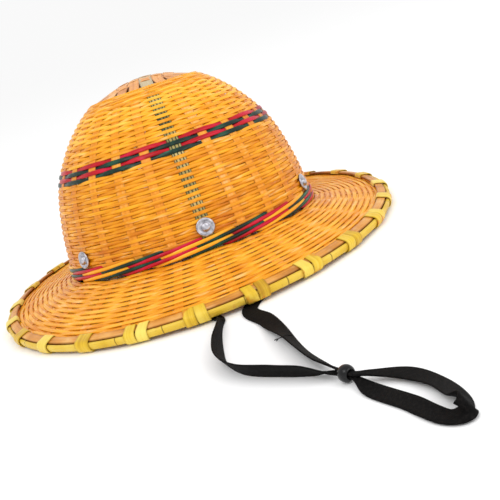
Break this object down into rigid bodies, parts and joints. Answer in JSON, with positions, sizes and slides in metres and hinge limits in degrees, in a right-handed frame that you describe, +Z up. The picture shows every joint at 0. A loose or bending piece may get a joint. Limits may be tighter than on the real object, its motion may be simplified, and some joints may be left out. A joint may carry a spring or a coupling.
{
  "type": "bamboo hard hat",
  "caption": "Round woven bamboo safety helmet with a domed crown, down-sloping brim, bound rim, riveted crown foot, red and green woven bands, and a black chin strap with a bead.",
  "frame": {"origin": "middle of the rim, on the surface that the hat stands on", "axes": "+Z up, -Y towards the front, where the chin strap comes out, +X to the right as seen from the front"},
  "size_m": [0.3062, 0.4987, 0.1402],
  "materials": {
    "bamboo_weave": "glossy amber split bamboo, closely woven",
    "bamboo_strip": "pale pinkish tan flat strips, satin",
    "bamboo_hoop": "tan-brown grained bamboo",
    "yellow_cane": "lemon yellow cane, satin with orange-brown stains",
    "dyed_band": "split bamboo dyed red and dark green",
    "rivet_steel": "dull silver-grey metal with a brighter head",
    "black_webbing": "matte black flat webbing",
    "black_bead": "glossy black"
  },
  "bodies": {
    "root": {"crown_wall": "bamboo_weave", "crown_star": "bamboo_strip", "upper_band": "dyed_band", "lower_band": "dyed_band", "rivet_1": "rivet_steel", "rivet_2": "rivet_steel", "rivet_3": "rivet_steel", "rivet_4": "rivet_steel", "rivet_5": "rivet_steel", "rivet_6": "rivet_steel", "brim": "bamboo_weave", "rim_hoop_top": "bamboo_hoop", "rim_hoop_under": "bamboo_hoop", "rim_edge_strip": "yellow_cane", "rim_wrap_01": "yellow_cane", "rim_wrap_02": "yellow_cane", "rim_wrap_03": "yellow_cane", "rim_wrap_04": "yellow_cane", "rim_wrap_05": "yellow_cane", "rim_wrap_06": "yellow_cane", "rim_wrap_07": "yellow_cane", "rim_wrap_08": "yellow_cane", "rim_wrap_09": "yellow_cane", "rim_wrap_10": "yellow_cane", "rim_wrap_11": "yellow_cane", "rim_wrap_12": "yellow_cane", "rim_wrap_13": "yellow_cane", "rim_wrap_14": "yellow_cane", "rim_wrap_15": "yellow_cane", "rim_wrap_16": "yellow_cane", "rim_wrap_17": "yellow_cane", "rim_wrap_18": "yellow_cane", "rim_wrap_19": "yellow_cane", "rim_wrap_20": "yellow_cane", "rim_wrap_21": "yellow_cane", "rim_wrap_22": "yellow_cane", "rim_wrap_23": "yellow_cane", "rim_wrap_24": "yellow_cane", "chin_strap": "black_webbing", "strap_bead": "black_bead"}
  },
  "joints": []
}
